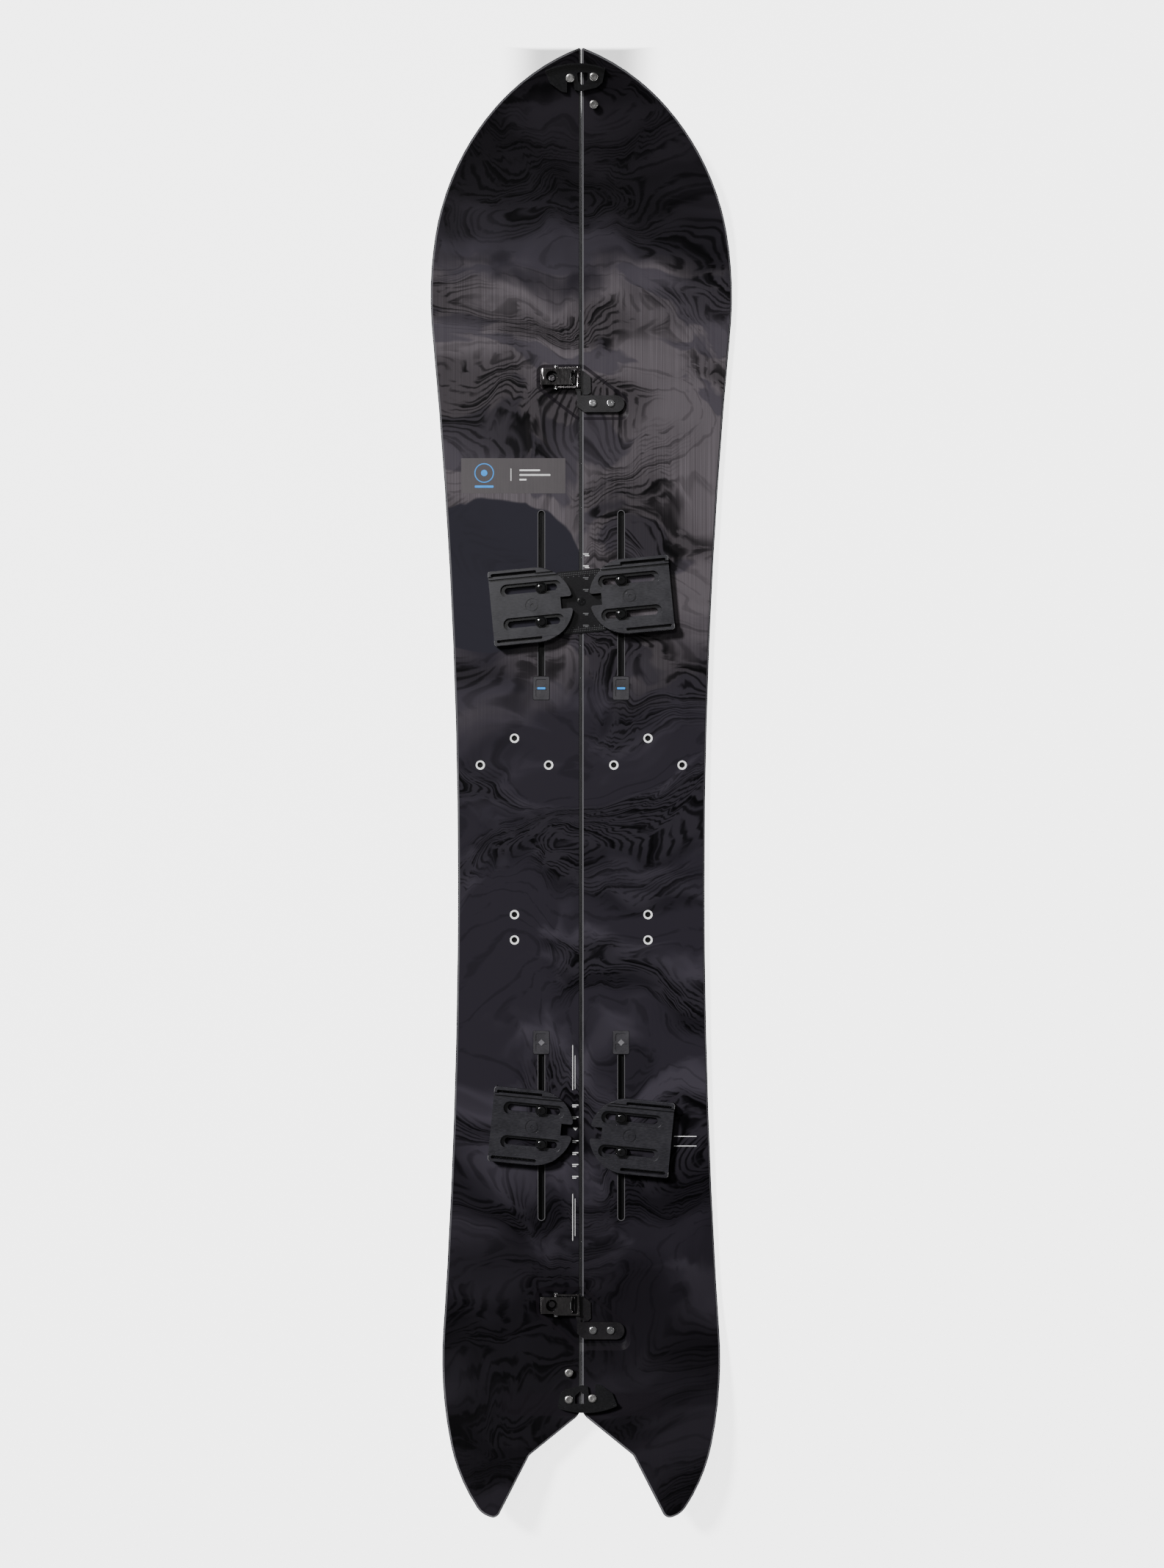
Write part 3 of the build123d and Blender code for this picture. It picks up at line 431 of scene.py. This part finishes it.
# ------------------------------------------------------------------ detail pieces
def rounded(cx, cy, width, height, radius, steps=5):
    """Outline of a rounded rectangle, anticlockwise."""
    points = []
    for sx, sy, start in ((1, 1, 0), (-1, 1, 90), (-1, -1, 180), (1, -1, 270)):
        for i in range(steps + 1):
            a = math.radians(start + 90 * i / steps)
            corner_x = cx + sx * (width / 2 - radius)
            corner_y = cy + sy * (height / 2 - radius)
            points.append((corner_x + radius * math.cos(a), corner_y + radius * math.sin(a)))
    return points


def disc(cx, cy, radius, steps=20):
    """Outline of a round mark."""
    points = []
    for i in range(steps):
        a = 2 * math.pi * i / steps
        points.append((cx + radius * math.cos(a), cy + radius * math.sin(a)))
    return points


def printed(name, outlines, z, material, body, thick=MARK):
    """Thin printed marks, all one piece, lying on a level surface at height z."""
    mesh = bmesh.new()
    for outline in outlines:
        low = [mesh.verts.new((x, y, z)) for x, y in outline]
        high = [mesh.verts.new((x, y, z + thick)) for x, y in outline]
        mesh.faces.new(high)
        mesh.faces.new(low[::-1])
        for i in range(len(low)):
            j = (i + 1) % len(low)
            mesh.faces.new((low[i], low[j], high[j], high[i]))
    return finished(name, mesh, material, body)


def turned(name, profile, centre, material, body, steps=40):
    """A round piece turned from (radius, height) points about an upright axis."""
    mesh = bmesh.new()
    rows = []
    for radius, height in profile:
        ring = []
        for i in range(steps):
            a = 2 * math.pi * i / steps
            x = centre[0] + radius * math.cos(a)
            y = centre[1] + radius * math.sin(a)
            ring.append(mesh.verts.new((x, y, height)))
        rows.append(ring)
    for lower, upper in zip(rows, rows[1:]):
        for i in range(steps):
            j = (i + 1) % steps
            mesh.faces.new((lower[i], lower[j], upper[j], upper[i]))
    mesh.faces.new(rows[0][::-1])
    mesh.faces.new(rows[-1])
    return finished(name, mesh, material, body)


def finished(name, mesh, material, body):
    """A mesh made into a named piece that rides on one body."""
    bmesh.ops.recalc_face_normals(mesh, faces=mesh.faces)
    data = bpy.data.meshes.new(name)
    mesh.to_mesh(data)
    mesh.free()
    data.materials.append(material)
    piece = bpy.data.objects.new(name, data)
    bpy.context.scene.collection.objects.link(piece)
    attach(piece, body)
    return piece


def stroke(cx, cy, width, height):
    """Outline of one printed stroke, with softly rounded corners."""
    return rounded(cx, cy, width, height, min(width, height) * 0.3, 3)


# stance ticks beside the front seam: a long one with a short one below it, dim where they are on the template
TICK_PITCH = 0.0127
TICK_X = 0.0048
TICK_LENGTH = 0.0060
template_low, template_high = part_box("stance_template")
front_middle = (template_low[1] + template_high[1]) / 2
bright = []
dim = []
for i in (-2, -1, 1, 2, 3, 4):
    y = front_middle + i * TICK_PITCH
    if y > template_high[1]:
        bright += [stroke(TICK_X, y, TICK_LENGTH, 0.0010), stroke(0.0062, y - 0.0018, 0.0048, 0.0009)]
    elif y > template_low[1]:
        dim += [stroke(TICK_X, y, TICK_LENGTH, 0.0008), stroke(0.0055, y - 0.0016, 0.0034, 0.0007)]
printed("stance_ticks_front", bright, DECK, PRINT_WHITE, "right_ski")
TEMPLATE_TOP = template_high[2]
printed("template_scale", dim, TEMPLATE_TOP, PRINT_DIM, "left_ski")

# the same beside the rear seam, round a triangle, with lengthwise rules beyond either end
rear_middle = (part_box("rear_left_puck")[0][1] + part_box("rear_right_puck")[1][1]) / 2
triangle_y = rear_middle + 0.0015
marks = []
for i in (-4, -3, -2, -1, 1, 2):
    y = triangle_y + i * TICK_PITCH
    marks += [stroke(-0.0064, y, 0.0066, 0.0010), stroke(-0.0074, y - 0.0018, 0.0042, 0.0009)]
triangle_top = triangle_y + 0.0014
marks.append([(-0.0036, triangle_top), (-0.0062, triangle_y - 0.0018), (-0.0092, triangle_top)])
marks += [stroke(-0.0092, -0.303, 0.0007, 0.048), stroke(-0.0066, -0.308, 0.0005, 0.036)]
marks += [stroke(-0.0092, -0.463, 0.0007, 0.050), stroke(-0.0066, -0.463, 0.0005, 0.040)]
printed("stance_ticks_rear", marks, DECK, PRINT_WHITE, "left_ski")
# two rules beside the right rear puck
rules = [stroke(0.111, y, 0.024, 0.0008) for y in (-0.3765, -0.3868)]
printed("deck_rules_right", rules, DECK, PRINT_WHITE, "right_ski")

# plain patch with a ring, a rule and three bars, in place of the printed label
patch = rounded(-0.0726, 0.3293, 0.1113, 0.0376, 0.0006)
printed("deck_patch", [patch], DECK, PRINT_PATCH, "left_ski")
RING_X = -0.1037
RING_Y = 0.3323
RING_INNER = 0.0094
RING_OUTER = 0.0104
RING_STEPS = 48
ring_parts = []
for i in range(RING_STEPS):
    corners = []
    for radius, k in ((RING_INNER, i), (RING_OUTER, i), (RING_OUTER, i + 1), (RING_INNER, i + 1)):
        a = 2 * math.pi * k / RING_STEPS
        corners.append((RING_X + radius * math.cos(a), RING_Y + radius * math.sin(a)))
    ring_parts.append(corners)
ring_parts.append(disc(RING_X, RING_Y, 0.0034))
ring_parts.append(stroke(RING_X, 0.3178, 0.0200, 0.0024))
printed("deck_patch_ring", ring_parts, DECK + MARK, PRINT_BLUE, "left_ski")
bars = [stroke(-0.0751, 0.3305, 0.0008, 0.0132)]
for y, width in ((0.3352, 0.022), (0.3302, 0.033), (0.3252, 0.0075)):
    bars.append(stroke(-0.066 + width / 2, y, width, 0.0017))
printed("deck_patch_bars", bars, DECK + MARK, PRINT_WHITE, "left_ski")

# three rows of light dots along the template's upper and lower edges, the inmost row sparser,
# and a low turned centre
lean = math.radians(5.5)
DOT_SPACING = 0.0019
INMOST_ROW = 2
template_x = (template_low[0] + template_high[0]) / 2
dots = []
for side in (-1, 1):
    for row, offset in enumerate((0.0312, 0.0292, 0.0270)):
        for i in range(-11, 12):
            if row == INMOST_ROW and i % 3:
                continue
            u = i * DOT_SPACING
            v = side * offset
            x = template_x + u * math.cos(lean) - v * math.sin(lean)
            y = front_middle + u * math.sin(lean) + v * math.cos(lean)
            dots.append(disc(x, y, 0.00034, 8))
printed("template_dots", dots, TEMPLATE_TOP, PRINT_DIM, "left_ski")
hub = (
    (0.0046, 0.0), (0.0046, 0.0003), (0.0040, 0.0006), (0.0030, 0.00068),
    (0.0026, 0.0003), (0.0012, 0.0003), (0.0008, 0.00062),
)
hub_profile = [(radius, TEMPLATE_TOP + height) for radius, height in hub]
hub_centre = (template_x, front_middle)
turned("template_hub", hub_profile, hub_centre, MATERIALS["bolt_black"], "left_ski")

# a plain coloured bar on each front plug's rib and a plain lozenge, wider than the rib, on each rear one's
RIB_DROP = 0.0001
PLUG_MARK = 0.00008
LOZENGE_REACH = 0.0035
for end in ("front", "rear"):
    for side in ("left", "right"):
        low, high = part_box(end + "_" + side + "_channel_plug")
        x = (low[0] + high[0]) / 2
        y = (low[1] + high[1]) / 2
        reach = LOZENGE_REACH
        if end == "front":
            shape = stroke(x, y, 0.0085, 0.0022)
            ink = PRINT_BLUE
        else:
            shape = [(x, y - reach), (x + reach, y), (x, y + reach), (x - reach, y)]
            ink = LOZENGE_GREY
        name = end + "_" + side + "_plug_mark"
        printed(name, [shape], high[2] - RIB_DROP, ink, side + "_ski", PLUG_MARK)

# ------------------------------------------------------------------ floor, light, camera
FLOOR_REACH = 6.0
floor_mesh = bpy.data.meshes.new("floor")
floor_corners = [(FLOOR_REACH * sx, FLOOR_REACH * sy, 0) for sx, sy in ((-1, -1), (1, -1), (1, 1), (-1, 1))]
floor_mesh.from_pydata(floor_corners, [], [(0, 1, 2, 3)])
floor = bpy.data.objects.new("floor", floor_mesh)
bpy.context.scene.collection.objects.link(floor)
floor.location.z = CAD_BOX[0][2] - 0.0002
PAPER_GLOW = 3.1
# painted shadow: where the paper's glow is cut off under the middle of the board
SHADOW_STRIP_HALF_WIDTH = (0.04, 0.09)
SHADOW_STRIP_PAST_NOSE = (0.016, 0.021)
SHADOW_STRIP_TO_NOTCH = (-0.675, -0.671)


def paper():
    """Pale paper that gives its own light, apart from a strip under the middle of the board where the glow is
    cut: a painted shadow under the board.
    """
    g = Graph("paper")
    grain = g.noise(300, 3, 0.6).outputs[0]
    g.set("Base Color", g.mix(grain, (0.89, 0.89, 0.89), (0.90, 0.90, 0.90)))
    g.set("Roughness", g.step(grain, 0.25, 0.75, 0.85, 0.95))
    g.set("Specular IOR Level", 0.1)
    beside = g.step(g.math("ABSOLUTE", g.x), *SHADOW_STRIP_HALF_WIDTH)
    nose_end = CAD_BOX[1][1]
    past_nose = g.step(g.y, nose_end + SHADOW_STRIP_PAST_NOSE[0], nose_end + SHADOW_STRIP_PAST_NOSE[1])
    past_notch = g.step(g.y, *SHADOW_STRIP_TO_NOTCH, 1, 0)
    unshadowed_paper = g.math("MAXIMUM", beside, g.math("MAXIMUM", past_nose, past_notch))
    g.set("Emission Color", (1, 1, 1, 1))
    g.set("Emission Strength", g.math("MULTIPLY", unshadowed_paper, PAPER_GLOW))
    g.bump(grain, 0.02, 0.0001)
    return g.mat


floor_mesh.materials.append(paper())

world = bpy.data.worlds.new("studio")
bpy.context.scene.world = world
world.use_nodes = True
background = world.node_tree.nodes["Background"]
background.inputs["Color"].default_value = (1, 1, 1, 1)
background.inputs["Strength"].default_value = 0.13


def aimed(name, light, place):
    """A lamp at place, pointing at the origin, under the middle of the board."""
    lamp = bpy.data.objects.new(name, light)
    lamp.location = place
    lamp.rotation_euler = (-Vector(place)).to_track_quat("-Z", "Y").to_euler()
    bpy.context.scene.collection.objects.link(lamp)


key = bpy.data.lights.new("key", "SUN")
key.energy = 5.6
key.angle = math.radians(9)
aimed("key", key, (-2.52, 2.16, 3.0))
strip = bpy.data.lights.new("strip", "AREA")
strip.shape = "RECTANGLE"
strip.size = 0.5
strip.size_y = 2.4
strip.energy = 26
aimed("strip", strip, (-2.2, 1.6, 1.7))
glint = bpy.data.lights.new("glint", "AREA")
glint.size = 0.22
glint.energy = 9
aimed("glint", glint, (-0.55, 0.75, 2.5))

camera_data = bpy.data.cameras.new("camera")
camera_data.sensor_fit = "VERTICAL"
camera_data.sensor_height = 36
camera_data.lens = 47.1
camera = bpy.data.objects.new("camera", camera_data)
camera.location = (0.0008, 0.0, 2.2)
camera.rotation_euler = (0, 0, 0)
bpy.context.scene.collection.objects.link(camera)
bpy.context.scene.camera = camera
